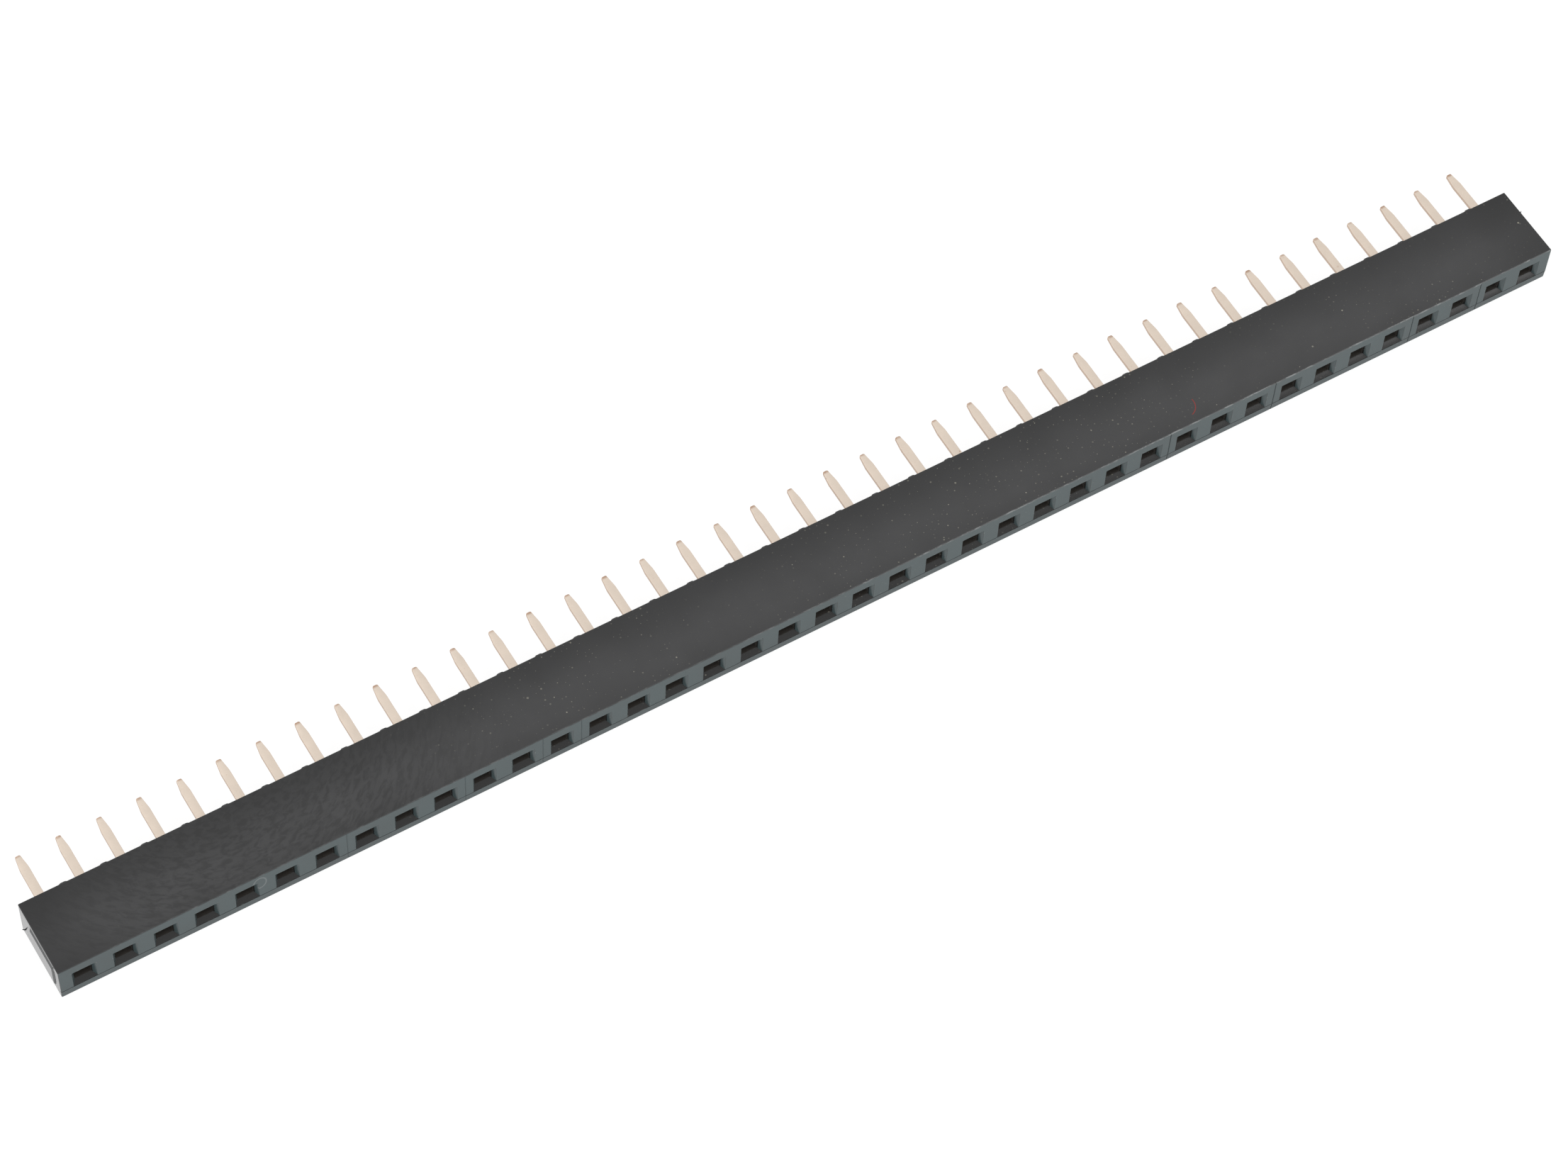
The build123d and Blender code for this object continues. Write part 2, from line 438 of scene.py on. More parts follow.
def socket_rings(sizes):
    """Walls of one socket round its centre line.

    A square path, walked once round with the same lines on each side, is scaled by each station's
    half width and half height and set at the station's depth.
    """
    side = np.linspace(-1.0, 1.0, SIDE_LINES)
    end = np.ones(SIDE_LINES - 1)
    path_x = np.concatenate((side[:-1], end, side[:0:-1], -end, side[:1]))
    path_z = np.concatenate((-end, side[:-1], end, side[:0:-1], -end[:1]))
    stations = socket_stations(sizes)
    x = stations[:, :1] * path_x
    z = MIDDLE + stations[:, 1:2] * path_z
    return as_points(x, stations[:, 2:3], z)


def burr(root, along, outward, size):
    """A thin curled flake of plastic.

    It is a flat strip that starts inside the wall and runs out along the outward direction. It
    bends towards the along direction, by 0.6 of its size in all, while its width shrinks to less
    than a quarter.
    """
    step = np.linspace(0.0, 1.0, 6)[:, None]
    centres = root + size * (outward * (step - 0.3) + along * 0.6 * step**2)
    forward = np.gradient(centres, axis=0)
    forward /= np.linalg.norm(forward, axis=1, keepdims=True)
    upward = np.cross(np.cross(outward, along), forward)
    across = np.cross(forward, upward)
    half = size * (0.34 - 0.26 * step[:, 0])
    return formed_strip(centres, across, upward, half, size * 0.09, size * 0.06)


def housing_mesh(sizes):
    """The block's six faces, with a hole for each socket in two of them, and the sockets' walls."""
    front_x, tail_x, front_z, tail_z, depth, hole_x, hole_z = housing_lines(sizes)
    patches = Patchwork()
    keep = np.ones((len(front_x) - 1, len(front_z) - 1), bool)
    keep[np.ix_(hole_x, hole_z)] = False
    for y, lines_x, lines_z in ((SOCKET_FACE, front_x, front_z), (TAIL_FACE, tail_x, tail_z)):
        patches.add(shape_block(as_points(lines_x[:, None], y, lines_z), sizes), keep)
    blend = smooth_step(SOCKET_FACE + LEAN_FADE, TAIL_FACE - LEAN_FADE, depth)[:, None]
    x = front_x + (tail_x - front_x) * blend
    z = front_z + (tail_z - front_z) * blend
    for level in (0.0, BODY_TOP):
        patches.add(shape_block(as_points(x, depth[:, None], level), sizes))
    for end in (-BODY_END, BODY_END):
        patches.add(shape_block(as_points(end, depth[:, None], z), sizes))
    rings = socket_rings(sizes)
    for centre in socket_centres(sizes.pitch):
        patches.add(rings + np.array([centre, 0.0, 0.0]))
    for root, along, outward, size in BURRS:
        patches.add(burr(np.array(root) * MM, np.array(along), np.array(outward), size * MM))
    return patches.mesh("housing_shell")


def strip_section(half_width, half_sheet, radius):
    """Rounded rectangle, walked once round, for every station of a strip.

    Each corner is a quarter circle of three steps about a centre that lies in from both sides by
    the radius, which is never more than most of the smaller half size.
    """
    radius = np.minimum(radius, 0.95 * np.minimum(half_width, half_sheet))
    turn = np.radians(np.arange(0.0, 91.0, 30.0))
    across, up = [], []
    for quarter, (sign_x, sign_z) in enumerate(((1, 1), (-1, 1), (-1, -1), (1, -1))):
        around = turn + math.radians(90.0 * quarter)
        across.append(sign_x * (half_width - radius)[:, None] + radius[:, None] * np.cos(around))
        up.append(sign_z * (half_sheet - radius)[:, None] + radius[:, None] * np.sin(around))
    return np.concatenate(across, axis=1), np.concatenate(up, axis=1)


def formed_strip(centres, across, upward, half_width, half_sheet, radius):
    """A strip of sheet metal with rounded edges along a path.

    At every station the rounded rectangle is laid out along the across and upward directions
    round the centre. The two ends are drawn in to a point, so the strip is a closed skin.
    """
    half_width, half_sheet, radius = [
        np.broadcast_to(value, len(centres)) for value in (half_width, half_sheet, radius)
    ]
    side, rise = strip_section(half_width, half_sheet, radius)
    rings = centres[:, None] + side[..., None] * across[:, None] + rise[..., None] * upward[:, None]
    forward = np.cross(across, upward)
    soft = radius * 0.5
    inset = 1.0 - soft / half_width
    caps = []
    for row, beside in ((0, 1), (-1, -2)):
        way = np.sign(np.dot(centres[row] - centres[beside], forward[row]))
        shift = way * forward[row] * soft[row]
        face = centres[row] + (rings[row] - centres[row]) * inset[row] + shift
        point = np.broadcast_to(centres[row] + shift, face.shape)
        caps.append(np.stack((face, point)))
    skin = np.concatenate((caps[0][::-1], rings, caps[1]))
    return np.concatenate((skin, skin[:, :1]), axis=1)


def grip_borders(sizes):
    """Depths where the grip ends, where it starts, and where the channel starts."""
    grip_end = TAIL_FACE - sizes.grip_inset
    grip_start = grip_end - sizes.grip_length
    return grip_end, grip_start, grip_start - sizes.box_length


def tail_profile(sizes, tip):
    """Depth and half width of the flat strip, from the channel over the barbs to the blunt tip."""
    grip_end, grip_start, box_start = grip_borders(sizes)
    grip = sizes.grip_width / 2
    tail = sizes.tail_width / 2
    end = sizes.tip_width / 2
    corner = sizes.tip_corner
    marks = [
        (box_start, sizes.box_width / 2),
        (grip_start - CRISP, sizes.box_width / 2),
        (grip_start, grip),
        (grip_end - CRISP - sizes.barb_land, grip + sizes.barb_reach),
        (grip_end - CRISP, grip + sizes.barb_reach),
        (grip_end, tail + 0.04 * MM),
        (grip_end + 0.04 * MM, tail),
    ]
    bend = np.linspace(grip_end + 0.08 * MM, TAIL_FACE + 0.1 * MM, 14)
    taper_start = tip - sizes.taper_length
    straight = np.linspace(TAIL_FACE + 0.3 * MM, taper_start - 0.05 * MM, 5)
    taper = np.linspace(taper_start + 0.05 * MM, tip - corner, 7)
    lean = tail + (end - tail) * (taper - taper_start) / sizes.taper_length
    turn = np.radians([25.0, 50.0, 72.0])
    blunt = tip - corner + corner * np.sin(turn)
    even = np.full(len(bend) + len(straight), tail)
    rounded = lean[-1] - corner * (1.0 - np.cos(turn))
    depth = np.concatenate(([y for y, half in marks], bend, straight, taper, blunt))
    half = np.concatenate(([half for y, half in marks], even, lean, rounded))
    return depth, half


def contact_mesh(sizes, socket_wall, centre, tip, name):
    """One stamped contact: the jogged strip with its tail, and two walls that run out into beams.

    The strip's middle line follows a soft S from the web's level to the middle of the housing. A
    wall with its beam follows the channel's side, leans in to the contact point and flares out.
    """
    patches = Patchwork()
    depth, half = tail_profile(sizes, tip - sizes.edge_radius / 2)
    bend_end = TAIL_FACE - sizes.bend_inset
    rise = smooth_step(bend_end - sizes.bend_length, bend_end, depth)
    level = sizes.web_level + (MIDDLE - sizes.web_level) * rise
    centres = as_points(centre, depth, level)
    slope = np.gradient(level, depth)
    upward = as_points(0.0, -slope, 1.0)
    upward /= np.linalg.norm(upward, axis=-1, keepdims=True)
    across = np.tile([1.0, 0.0, 0.0], (len(depth), 1))
    patches.add(formed_strip(centres, across, upward, half, sizes.sheet / 2, sizes.edge_radius))
    _, grip_start, box_start = grip_borders(sizes)
    beam_tip = SOCKET_FACE + socket_wall + sizes.beam_clearance
    touch = beam_tip + sizes.beam_tip_length
    wall = np.linspace(grip_start, box_start + CRISP, 4)
    beam = np.linspace(box_start - 0.04 * MM, beam_tip, 22)
    depth = np.concatenate((wall, beam))
    root_gap = sizes.box_width / 2 - sizes.sheet
    marks = np.array([beam_tip, touch, box_start, grip_start])
    gaps = np.array([sizes.beam_tip_gap / 2, sizes.beam_gap / 2, root_gap, root_gap])
    spread = np.linspace(-BEND_REACH, BEND_REACH, 5)
    weight = np.array([0.1, 0.2, 0.4, 0.2, 0.1])
    gap = (np.interp(depth[:, None] + spread, marks, gaps) * weight).sum(axis=1)
    box_middle = sizes.web_level - sizes.sheet / 2 + sizes.box_height / 2
    halves = np.array([sizes.beam_width, sizes.beam_width, sizes.beam_root]) / 2
    beam_half = np.interp(depth, marks[:3], halves)
    height = np.where(depth >= box_start, sizes.box_height / 2, beam_half)
    level = np.where(depth >= box_start, box_middle, MIDDLE)
    across = np.tile([0.0, 0.0, 1.0], (len(depth), 1))
    for side in (-1.0, 1.0):
        x = centre + side * (gap + sizes.sheet / 2)
        centres = as_points(x, depth, level)
        upward = np.tile([side, 0.0, 0.0], (len(depth), 1))
        skin = formed_strip(centres, across, upward, height, sizes.sheet / 2, sizes.edge_radius)
        patches.add(skin)
    return patches.mesh(name)


def feed(socket, value):
    """Gives a node's input its value: a link from another node, or a plain number or colour."""
    if isinstance(value, Value):
        value.tree.links.new(value.socket, socket)
    else:
        socket.default_value = value


class Value:
    """A node's output that takes part in sums like a number. Each step of a sum is a Math node."""

    def __init__(self, socket):
        self.tree = socket.id_data
        self.socket = socket

    def math(self, operation, *others, clamp=False):
        """The result of a Math node whose first input is this value."""
        node = self.tree.nodes.new("ShaderNodeMath")
        node.operation = operation
        node.use_clamp = clamp
        for socket, value in zip(node.inputs, (self, *others)):
            feed(socket, value)
        return Value(node.outputs[0])

    def __add__(self, other):
        return self.math("ADD", other)

    def __sub__(self, other):
        return self.math("SUBTRACT", other)

    def __rsub__(self, other):
        return self.math("MULTIPLY_ADD", -1.0, other)

    def __mul__(self, other):
        return self.math("MULTIPLY", other)

    def __truediv__(self, other):
        return self.math("DIVIDE", other)

    def __abs__(self):
        return self.math("ABSOLUTE")

    def clamped(self):
        """The same value, kept between zero and one."""
        return self.math("ADD", 0.0, clamp=True)


def larger(first, *others):
    """The largest of several values at each place."""
    for other in others:
        first = first.math("MAXIMUM", other)
    return first


def hypotenuse(first, second):
    """The distance that two distances at right angles make."""
    return (first * first + second * second).math("SQRT")


def remap(value, low, high, to_low=0.0, to_high=1.0, smooth=True):
    """A Map Range node's result, which is smooth between its ends unless told otherwise."""
    node = value.tree.nodes.new("ShaderNodeMapRange")
    node.interpolation_type = "SMOOTHSTEP" if smooth else "LINEAR"
    names = ("Value", "From Min", "From Max", "To Min", "To Max")
    for name, number in zip(names, (value, low, high, to_low, to_high)):
        feed(node.inputs[name], number)
    return Value(node.outputs["Result"])


def mixed(factor, first, second):
    """A value between two values."""
    node = factor.tree.nodes.new("ShaderNodeMix")
    for socket, value in zip(node.inputs[:1] + node.inputs[2:4], (factor, first, second)):
        feed(socket, value)
    return Value(node.outputs[0])


def mix_tone(factor, first, second):
    """A colour between two colours."""
    node = factor.tree.nodes.new("ShaderNodeMix")
    node.data_type = "RGBA"
    feed(node.inputs[0], factor)
    for socket, colour in zip(node.inputs[6:8], (first, second)):
        feed(socket, colour if isinstance(colour, Value) else (*colour, 1.0))
    return Value(node.outputs[2])


def scaled_tone(colour, level):
    """A colour multiplied by a level that changes over the surface."""
    node = level.tree.nodes.new("ShaderNodeVectorMath")
    node.operation = "SCALE"
    feed(node.inputs[0], colour)
    feed(node.inputs["Scale"], level)
    return Value(node.outputs[0])


def noise(vector, scale, detail=2.0, roughness=0.5, distortion=0.0):
    """A Noise node's value over a vector."""
    node = vector.tree.nodes.new("ShaderNodeTexNoise")
    names = ("Vector", "Scale", "Detail", "Roughness", "Distortion")
    for name, value in zip(names, (vector, scale, detail, roughness, distortion)):
        feed(node.inputs[name], value)
    return Value(node.outputs["Fac"])


def axes(vector):
    """The three parts of a vector."""
    node = vector.tree.nodes.new("ShaderNodeSeparateXYZ")
    feed(node.inputs[0], vector)
    return [Value(socket) for socket in node.outputs]


def combined(x, y, z):
    """A vector of three values."""
    node = x.tree.nodes.new("ShaderNodeCombineXYZ")
    for socket, value in zip(node.inputs, (x, y, z)):
        feed(socket, value)
    return Value(node.outputs[0])


def stretched(vector, scale, turn=(0.0, 0.0, 0.0), centre=(0.0, 0.0, 0.0)):
    """A vector scaled for each axis, then turned, after the centre is moved to zero."""
    moved = vector.tree.nodes.new("ShaderNodeVectorMath")
    moved.operation = "SUBTRACT"
    feed(moved.inputs[0], vector)
    feed(moved.inputs[1], centre)
    node = vector.tree.nodes.new("ShaderNodeMapping")
    values = {"Vector": Value(moved.outputs[0]), "Rotation": turn, "Scale": scale}
    for name, value in values.items():
        feed(node.inputs[name], value)
    return Value(node.outputs["Vector"])


def surface_normal(tree):
    """The three parts of the surface's own direction, without bumps."""
    geometry = tree.nodes.new("ShaderNodeNewGeometry")
    return axes(Value(geometry.outputs["True Normal"]))


def add_bumps(shader, height, strength, depth):
    """Lets a height move the shader's normal, at a strength and a depth in metres."""
    bump = height.tree.nodes.new("ShaderNodeBump")
    for name, value in {"Strength": strength, "Distance": depth, "Height": height}.items():
        feed(bump.inputs[name], value)
    height.tree.links.new(bump.outputs["Normal"], shader["Normal"])


def new_group(name, inputs, outputs):
    """An empty shader node group: itself, its inputs as values, and its end node's sockets.

    An input without a number is a vector, and every output is a plain number.
    """
    group = bpy.data.node_groups.new(name, "ShaderNodeTree")
    for label, number in inputs.items():
        kind = "NodeSocketVector" if number is None else "NodeSocketFloat"
        socket = group.interface.new_socket(name=label, in_out="INPUT", socket_type=kind)
        if number is not None:
            socket.default_value = number
    for label in outputs:
        group.interface.new_socket(name=label, in_out="OUTPUT", socket_type="NodeSocketFloat")
    given = group.nodes.new("NodeGroupInput")
    result = group.nodes.new("NodeGroupOutput")
    values = [Value(socket) for socket in given.outputs[: len(inputs)]]
    return group, values, result.inputs


def speck_group():
    """Small round specks of uneven size, one at most in each cell of a flat Voronoi pattern."""
    inputs = {"Vector": None, "Scale": 1.0, "Radius": 0.1, "Share": 0.5}
    group, (vector, scale, radius, part), result = new_group("specks", inputs, ["Mask"])
    cells = group.nodes.new("ShaderNodeTexVoronoi")
    cells.voronoi_dimensions = "2D"
    feed(cells.inputs["Vector"], vector)
    feed(cells.inputs["Scale"], scale)
    chance = group.nodes.new("ShaderNodeSeparateColor")
    feed(chance.inputs[0], Value(cells.outputs["Color"]))
    chosen_by, grown_by, strength_by = [Value(socket) for socket in chance.outputs]
    own_radius = radius * (grown_by.math("POWER", 3.0) + 0.45)
    reach = Value(cells.outputs["Distance"]) / own_radius
    soft = ((1.0 - reach) * 2.2).clamped()
    chosen = chosen_by.math("LESS_THAN", part)
    feed(result["Mask"], soft * chosen * (strength_by * 0.75 + 0.25))
    return group


def grain_group():
    """Fine uneven skin: a small height for bumps and a tone that wanders round one half."""
    inputs = {"Vector": None, "Fine": 30.0, "Broad": 1.0}
    group, (vector, *scales), result = new_group("grain", inputs, ["Height", "Tone"])
    fine = noise(vector, scales[0], 3.0)
    broad = noise(vector, scales[1], 4.0)
    feed(result["Height"], broad * 0.4 + fine)
    feed(result["Tone"], broad * 0.65 + fine * 0.35)
    return group


def thread_group():
    """A thin curved thread: part of the unit circle in a vector's first two axes.

    It is drawn where the distance from the centre is near one, the direction is nearer to the
    first axis than the opening says, and the third axis is near zero.
    """
    inputs = {"Vector": None, "Width": 0.05, "Opening": 0.0}
    group, (vector, width, opening), result = new_group("thread", inputs, ["Mask"])
    first, second, third = axes(vector)
    radius = hypotenuse(first, second)
    line = (1.0 - abs(radius - 1.0) / width).clamped()
    drawn = (first / radius).math("GREATER_THAN", opening)
    flat = abs(third).math("LESS_THAN", 0.5)
    feed(result["Mask"], line * drawn * flat)
    return group


def shared_groups():
    """The shared effects, each built once."""
    groups = {"specks": speck_group, "grain": grain_group, "thread": thread_group}
    return {name: bpy.data.node_groups.get(name) or build() for name, build in groups.items()}


def place_group(group, vector, **inputs):
    """Puts a shared group into a material with its own values, and gives its outputs' values."""
    node = vector.tree.nodes.new("ShaderNodeGroup")
    node.node_tree = group
    for name, value in {"Vector": vector, **inputs}.items():
        feed(node.inputs[name], value)
    return [Value(socket) for socket in node.outputs]


def new_material(name):
    """A material: itself, its Principled shader's inputs, and its coordinates in millimetres."""
    material = bpy.data.materials.new(name)
    material.use_nodes = True
    tree = material.node_tree
    coordinates = tree.nodes.new("ShaderNodeTexCoord")
    place = stretched(Value(coordinates.outputs["Object"]), (1 / MM, 1 / MM, 1 / MM))
    return material, tree.nodes["Principled BSDF"].inputs, place


def flattened(place):
    """Flat coordinates for specks, sheared so that no side of a block is seen edge on."""
    x, y, z = axes(place)
    return combined(z * 0.7 + x, y + z, 0.0)


def rubbed_sheen_strokes(x, y):
    """Short dark strokes of painted sheen where the skin was rubbed: noise drawn out along circles
    round a point.
    """
    across = x - RUBBED_SHEEN_CENTRE[0]
    along = y - RUBBED_SHEEN_CENTRE[1]
    polar = combined(hypotenuse(across, along) * 4.2, along.math("ARCTAN2", across) * 14.0, 0.0)
    return remap(noise(polar, 1.0, 4.0, 0.6, 0.5), 0.36, 0.6)


def near_socket_face(y):
    """One on the socket face, and zero from 0.12 mm behind it."""
    return remap(y, SOCKET_FACE / MM + 0.12, SOCKET_FACE / MM + 0.06)


def seam_lines(place, sizes):
    """Thin dark lines on the socket face: the parting line and the joints of the mould inserts."""
    x, y, z = axes(place)
    wander = (noise(place, 6.0, 3.0) - 0.5) * 0.05
    lines = remap(abs(z + wander - sizes.lip_level / MM), 0.05, 0.015)
    side = x + wander
    for border in WITNESS_BORDERS:
        joint = (border - COUNT / 2) * sizes.pitch / MM
        strength = 0.2 if joint < 0 else 0.65
        lines = larger(lines, remap(abs(side - joint), 0.045, 0.015, 0.0, strength))
    return lines * near_socket_face(y)


def dust_mask(groups, place, on_top, amount):
    """Specks of dust: many faint fine ones and a few clear ones, in drifts, fewer to the left."""
    specks = groups["specks"]
    flat = flattened(place)
    fine = place_group(specks, flat, Scale=3.3, Radius=0.13, Share=0.5)[0]
    coarse = place_group(specks, flat, Scale=0.85, Radius=0.048, Share=0.15)[0]
    drifts = remap(noise(place, 0.2, 3.0), 0.40, 0.62, 0.16, 1.0)
    rightward = remap(axes(place)[0], -25.0, -12.0, 0.04, 1.0)
    lying = remap(on_top, 0.0, 1.0, 0.4, 1.0)
    return larger(fine * drifts * 0.42, coarse * 0.8) * rightward * lying * amount


def beyond_mouth(x, z, sizes):
    """How far a place lies outside the square bore of the nearest socket, seen along the depth."""
    half = sizes.pitch / MM / 2
    across = half - x.math("PINGPONG", half)
    return larger(across, abs(z - MIDDLE / MM)) - sizes.funnel_mouth / MM / 2


def housing_material(look, sizes, groups):
    """Charcoal moulded plastic.

    Its top face is a little darker along the tail side and at both ends, with short dark strokes of
    painted sheen where it was rubbed at the left. Thin dark seams cross the socket face, whose
    paler, cooler colour is a painted reflection, and painted shade darkens its band under the
    parting line.
    In the sockets, painted shade darkens the funnels' upper and lower slopes, and painted light
    brightens their side slopes and the throats. Dust, a hair and a fibre lie on it, and the front
    edge and the rims of the sockets are rubbed pale.
    """
    material, shader, place = new_material("housing_plastic_moulded")
    tree = material.node_tree
    x, y, z = axes(place)
    normal_x, normal_y, normal_z = surface_normal(tree)
    socket_face = SOCKET_FACE / MM
    lip_level = sizes.lip_level / MM
    on_top = remap(normal_z, 0.6, 0.9)
    to_front = remap(normal_y, -0.7, -0.95)
    on_front = to_front * near_socket_face(y)
    end_side = abs(normal_x)
    on_end = remap(end_side, 0.8, 0.95)

    height, grain = place_group(groups["grain"], place, Fine=28.0, Broad=0.45)
    shade = remap(grain, 0.3, 0.7, 0.82, 1.18, smooth=False)
    tail_side = remap(y, 0.7, -2.0, 0.42, 1.0)
    front_side = remap(y, -2.4, -3.4, 1.0, 0.82)
    ends = remap(abs(x), 36.0, 40.2, 1.0, 0.55)
    # Painted sheen: short strokes where the skin was rubbed darken the top face at the left.
    rubbed_sheen_place = remap(x, -15.0, -25.0) * remap(x, -39.5, -34.0, 0.45, 1.0) * on_top
    strokes = 1.0 - rubbed_sheen_place * (1.0 - rubbed_sheen_strokes(x, y)) * 0.42
    level = shade * mixed(on_top, 0.8, tail_side * front_side * ends * strokes)
    # Painted reflection: the socket face takes its own paler, cooler colour.
    front_painted_reflection = scaled_tone(look.socket_face, shade)
    skin = mix_tone(on_front, scaled_tone(look.plastic, level), front_painted_reflection)
    # Painted shade: the band of the socket face under the parting line, which leans back, is
    # darkened by 0.12.
    lip = on_front * remap(z, lip_level, lip_level - 0.04)
    seams = seam_lines(place, sizes)
    skin = scaled_tone(skin, 1.0 - larger(lip * 0.12, seams * 0.8))

    beyond = beyond_mouth(x, z, sizes)
    inside = remap(beyond, 0.005, -0.02)
    # Painted light and shade in the funnels: the side slopes take the socket face's paler colour,
    # the upper and lower slopes the near-black bore colour.
    painted_light_side_slopes = remap(end_side, 0.5, 0.7) * remap(y, socket_face + 0.22, socket_face + 0.18)
    slope_light_and_shade = mix_tone(painted_light_side_slopes, look.bore, look.socket_face)
    # Painted light: behind the funnels the walls take the lighter, warmer throat colour.
    deep = remap(y, socket_face + 0.24, socket_face + 0.27)
    skin = mix_tone(inside, skin, mix_tone(deep, slope_light_and_shade, look.throat))

    from_edge = hypotenuse(y - socket_face, z - BODY_TOP / MM)
    nicks = remap(noise(stretched(place, (1.7, 7.0, 7.0)), 1.0, 4.0, 0.75), 0.48, 0.62, 0.3, 1.0)
    front_edge = remap(from_edge, 0.07, 0.025) * nicks * remap(x, -10.0, 10.0, 0.25, 0.8)
    past_end = abs(x) - BODY_END / MM
    pad_edge = remap(past_end, 0.003, 0.012) * remap(past_end, 0.058, 0.05) * 0.25
    chipped = remap(noise(place, 3.1, 4.0, 0.7), 0.6, 0.68)
    rims = remap(abs(beyond), 0.06, 0.01) * chipped * to_front * 0.5
    dust = dust_mask(groups, place, on_top, look.dust_amount)
    hair_place = stretched(place, (3.2, 8.0, 2.4), (math.pi / 2, 0.0, 0.6), HAIR_PLACE)
    hair = place_group(groups["thread"], hair_place, Width=0.16, Opening=-0.8)[0]
    fibre_place = stretched(place, (1.5, 1.5, 8.0), (0.0, 0.0, 0.55), FIBRE_PLACE)
    fibre = place_group(groups["thread"], fibre_place, Width=0.045, Opening=0.75)[0]
    covers = (
        (dust, look.dust),
        (larger(front_edge, pad_edge, rims), look.plastic_worn),
        (hair * 0.5, look.plastic_worn),
        (fibre * 0.9, look.fibre),
    )
    for cover, colour in covers:
        skin = mix_tone(cover, skin, colour)
    feed(shader["Base Color"], skin)

    rough = remap(grain, 0.3, 0.7, 0.40, 0.48, smooth=False) - on_end * 0.32
    matt = larger(seams, dust, fibre)
    feed(shader["Roughness"], mixed(matt, mixed(inside, rough, 0.24), 0.9))
    even = remap(larger(on_end, inside), 0.0, 1.0, 1.0, 0.2)
    add_bumps(shader, (dust * 1.5 + height) * even, 0.35, 0.004 * MM)
    shader["IOR"].default_value = 1.47
    return material


def contact_material(look, groups):
    """Satin plating on copper alloy: a warm skin and dark pores, with painted shade in the copper
    alloy's colour at the tips and on every face that faces sideways.
    """
    material, shader, place = new_material("contact_metal_plated")
    tree = material.node_tree
    height, grain = place_group(groups["grain"], place, Fine=22.0, Broad=1.6)
    base = scaled_tone(look.metal, remap(grain, 0.3, 0.7, 0.96, 1.04, smooth=False))
    flat = flattened(place)
    pores = place_group(groups["specks"], flat, Scale=5.0, Radius=0.14, Share=0.22)[0]
    spots = place_group(groups["specks"], flat, Scale=1.1, Radius=0.07, Share=0.12)[0]
    tail_end = CAD_HIGH.y / MM
    ragged = remap(noise(place, 5.0, 3.0), 0.35, 0.65, 0.55, 0.95)
    # Painted shade: the tails are darkened towards their ends, and so is every face that faces
    # sideways.
    tip = remap(axes(place)[1], tail_end - 0.2, tail_end - 0.05) * ragged
    painted_edge_shade = remap(abs(surface_normal(tree)[0]), 0.45, 0.9, 0.0, 0.45)
    bare_spots_and_shade = larger(tip, painted_edge_shade, pores * 0.22, spots * 0.8)
    feed(shader["Base Color"], mix_tone(bare_spots_and_shade, base, look.metal_bare_and_shade))
    feed(shader["Roughness"], remap(grain, 0.3, 0.7, 0.42, 0.5, smooth=False))
    shader["Metallic"].default_value = 1.0
    add_bumps(shader, height, 0.12, 0.003 * MM)
    return material


def clear_rays(tree):
    """One for the rays that show the background: seen directly, in gloss or through glass."""
    path = tree.nodes.new("ShaderNodeLightPath")
    rays = ("Is Camera Ray", "Is Glossy Ray", "Is Transmission Ray")
    return larger(*[Value(path.outputs[ray]) for ray in rays])


def floor_material(look):
    """Pale floor: plain for the light that it sends to the strip, white with a shadow when seen."""
    material = bpy.data.materials.new("stage_floor")
    material.use_nodes = True
    tree = material.node_tree
    tree.nodes.clear()
    output = tree.nodes.new("ShaderNodeOutputMaterial")
    plain = tree.nodes.new("ShaderNodeBsdfDiffuse")
    plain.inputs["Color"].default_value = (*look.floor_tone, 1.0)
    shaded = tree.nodes.new("ShaderNodeBsdfDiffuse")
    shaded.inputs["Color"].default_value = (SEEN_FLOOR_TONE, SEEN_FLOOR_TONE, SEEN_FLOOR_TONE, 1.0)
    glow = tree.nodes.new("ShaderNodeEmission")
    glow.inputs["Color"].default_value = (1.0, 1.0, 1.0, 1.0)
    glow.inputs["Strength"].default_value = SEEN_FLOOR_GLOW
    seen = tree.nodes.new("ShaderNodeAddShader")
    tree.links.new(shaded.outputs[0], seen.inputs[0])
    tree.links.new(glow.outputs[0], seen.inputs[1])
    choice = tree.nodes.new("ShaderNodeMixShader")
    feed(choice.inputs[0], clear_rays(tree))
    tree.links.new(plain.outputs[0], choice.inputs[1])
    tree.links.new(seen.outputs[0], choice.inputs[2])
    tree.links.new(choice.outputs[0], output.inputs["Surface"])
    return material


def add_floor(look):
    """The flat floor that the strip lies on."""
    half = FLOOR_WIDTH / 2
    corners = [(-half, -half, 0), (half, -half, 0), (half, half, 0), (-half, half, 0)]
    mesh = bpy.data.meshes.new("floor")
    mesh.from_pydata(corners, [], [(0, 1, 2, 3)])
    mesh.materials.append(floor_material(look))
    floor = bpy.data.objects.new("floor", mesh)
    bpy.context.scene.collection.objects.link(floor)


def set_world(level):
    """An even white room: the given level for light, and plain white where the camera sees it."""
    world = bpy.data.worlds.new("stage_world")
    world.use_nodes = True
    tree = world.node_tree
    back = tree.nodes["Background"].inputs
    feed(back["Strength"], clear_rays(tree) * (1.0 - level) + level)
    back["Color"].default_value = (1.0, 1.0, 1.0, 1.0)
    bpy.context.scene.world = world


def add_lamp(name, place, power):
    """A square softbox that looks at the strip."""
    data = bpy.data.lights.new(name, "AREA")
    data.size = SOFTBOX_WIDTH
    data.energy = power
    lamp = bpy.data.objects.new(name, data)
    lamp.location = place
    lamp.rotation_mode = "QUATERNION"
    lamp.rotation_quaternion = (-Vector(place)).to_track_quat("-Z", "Y")
    bpy.context.scene.collection.objects.link(lamp)


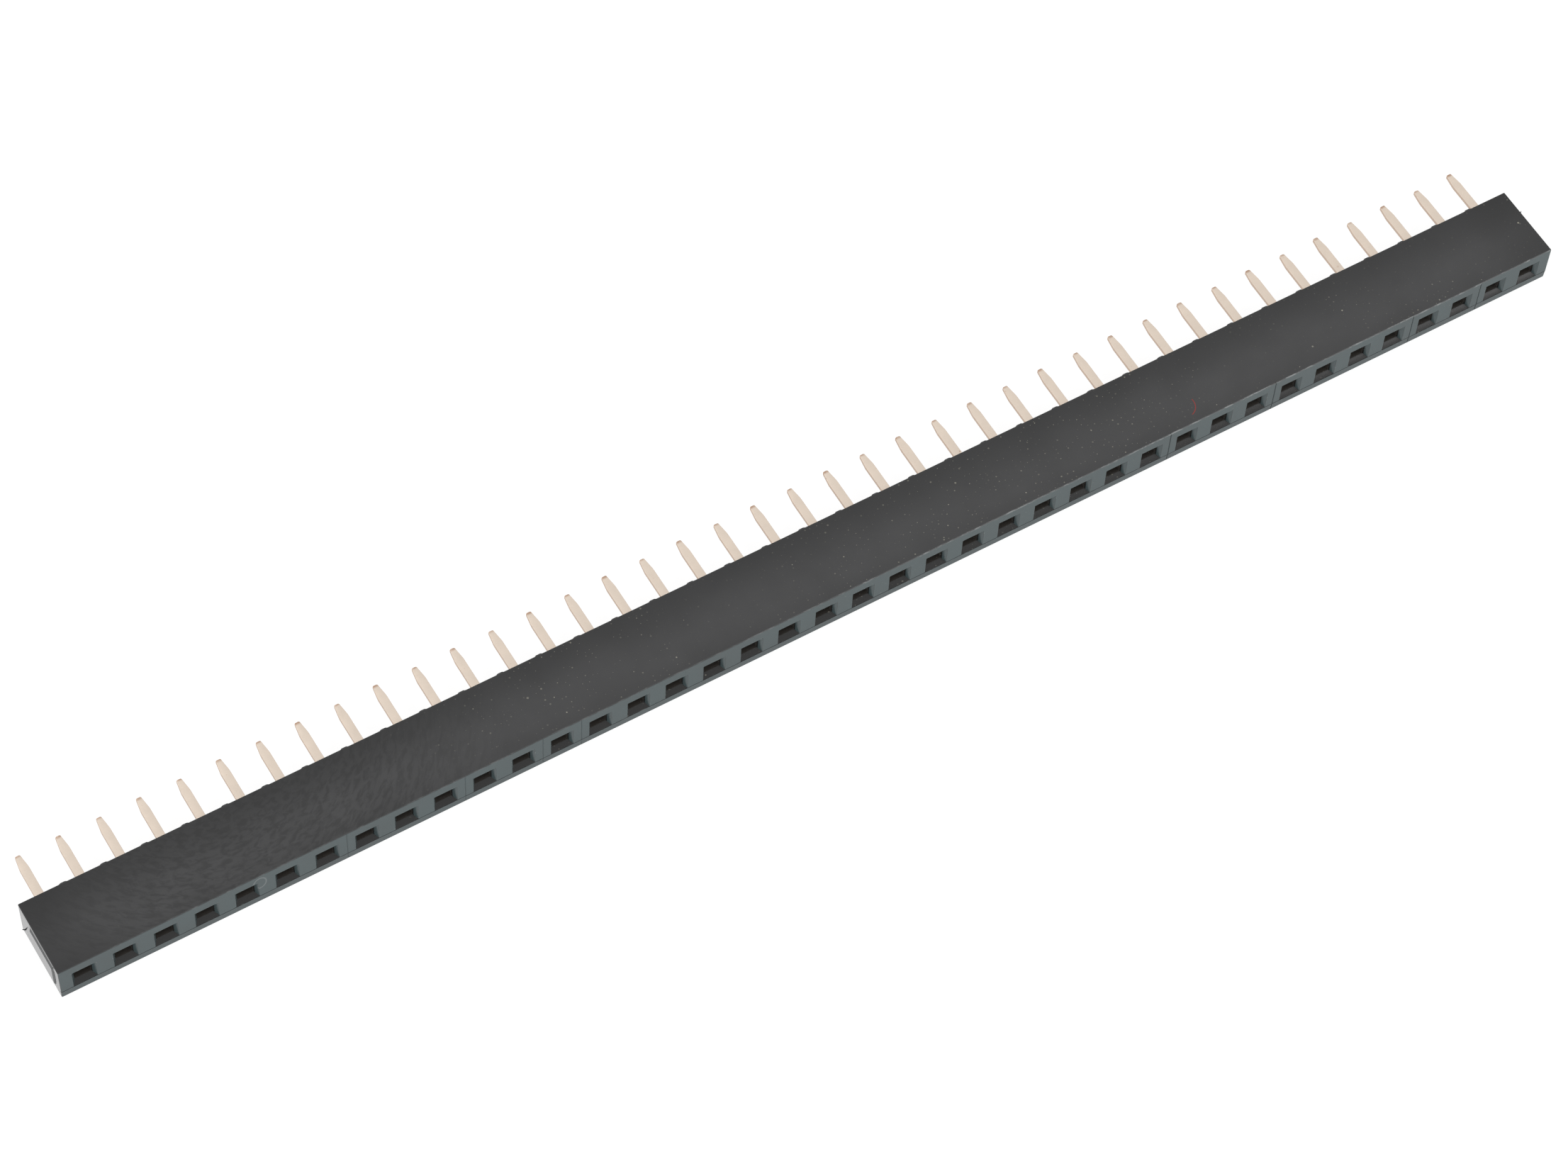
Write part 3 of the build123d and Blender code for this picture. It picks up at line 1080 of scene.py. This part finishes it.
def add_camera(look):
    """The camera of the photograph: at the target from its azimuth and elevation, rolled."""
    turn, rise = look.azimuth, look.elevation
    level = math.cos(rise)
    back = Vector((math.sin(turn) * level, -math.cos(turn) * level, math.sin(rise)))
    right = Vector((math.cos(turn), math.sin(turn), 0.0))
    up = back.cross(right)
    rolled_right = right * math.cos(look.roll) + up * math.sin(look.roll)
    rolled_up = up * math.cos(look.roll) - right * math.sin(look.roll)
    data = bpy.data.cameras.new("camera")
    data.sensor_width = 36.0
    data.lens = look.lens
    data.clip_start = 0.01
    data.clip_end = 10.0
    camera = bpy.data.objects.new("camera", data)
    camera.rotation_mode = "QUATERNION"
    turned = Matrix((rolled_right, rolled_up, back)).transposed()
    camera.rotation_quaternion = turned.to_quaternion()
    camera.location = Vector(look.target) + back * look.distance
    bpy.context.scene.collection.objects.link(camera)
    bpy.context.scene.camera = camera


class HEADER_OT_housing(bpy.types.Operator):
    """Builds the moulded housing with its sockets, standoffs and end pads"""

    bl_idname = "header_strip.housing"
    bl_label = "Housing"

    def execute(self, context):
        scene = context.scene
        mesh = housing_mesh(scene.header_housing)
        material = housing_material(scene.header_finish, scene.header_housing, shared_groups())
        add_piece("housing_shell", mesh, material, ["housing"])
        return {"FINISHED"}


class HEADER_OT_contacts(bpy.types.Operator):
    """Builds the stamped contacts, with every second tail a little shorter"""

    bl_idname = "header_strip.contacts"
    bl_label = "Contacts"

    def execute(self, context):
        scene = context.scene
        material = contact_material(scene.header_finish, shared_groups())
        for name in CONTACT_NAMES:
            low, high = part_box(name)
            piece = f"{name}_strip"
            centre = (low.x + high.x) / 2
            wall = scene.header_housing.socket_wall
            mesh = contact_mesh(scene.header_contact, wall, centre, high.y, piece)
            add_piece(piece, mesh, material, [name])
        return {"FINISHED"}


class HEADER_OT_stage(bpy.types.Operator):
    """Sets the camera, the pale floor, the lamps and the white room"""

    bl_idname = "header_strip.stage"
    bl_label = "Stage"

    def execute(self, context):
        look = context.scene.header_stage
        add_camera(look)
        add_floor(look)
        set_world(look.world_level)
        for name, place, power in LAMPS:
            add_lamp(name, place, power)
        context.scene.view_settings.view_transform = "Standard"
        return {"FINISHED"}


class VIEW3D_PT_header_strip(bpy.types.Panel):
    """Buttons and sizes for the header strip"""

    bl_label = "Header Strip"
    bl_space_type = "VIEW_3D"
    bl_region_type = "UI"
    bl_category = "Header Strip"

    def draw(self, context):
        for group in GROUPS:
            values = getattr(context.scene, group)
            column = self.layout.column(align=True)
            for name in values.__annotations__:
                column.prop(values, name)
        for operator in OPERATORS:
            self.layout.operator(operator.bl_idname)


GROUPS = {
    "header_housing": HousingSizes,
    "header_contact": ContactSizes,
    "header_finish": FinishLook,
    "header_stage": StageLook,
}
OPERATORS = (HEADER_OT_housing, HEADER_OT_contacts, HEADER_OT_stage)
CLASSES = (*GROUPS.values(), *OPERATORS, VIEW3D_PT_header_strip)


def register():
    """Registers the classes and gives the scene its groups of values."""
    for item in CLASSES:
        bpy.utils.register_class(item)
    for name, group in GROUPS.items():
        setattr(bpy.types.Scene, name, PointerProperty(type=group))


def unregister():
    """Takes back all that register added."""
    for name in GROUPS:
        delattr(bpy.types.Scene, name)
    for item in reversed(CLASSES):
        bpy.utils.unregister_class(item)


def main():
    """Builds the whole strip and its stage."""
    register()
    bpy.ops.header_strip.housing()
    bpy.ops.header_strip.contacts()
    bpy.ops.header_strip.stage()


if __name__ == "__main__":
    main()
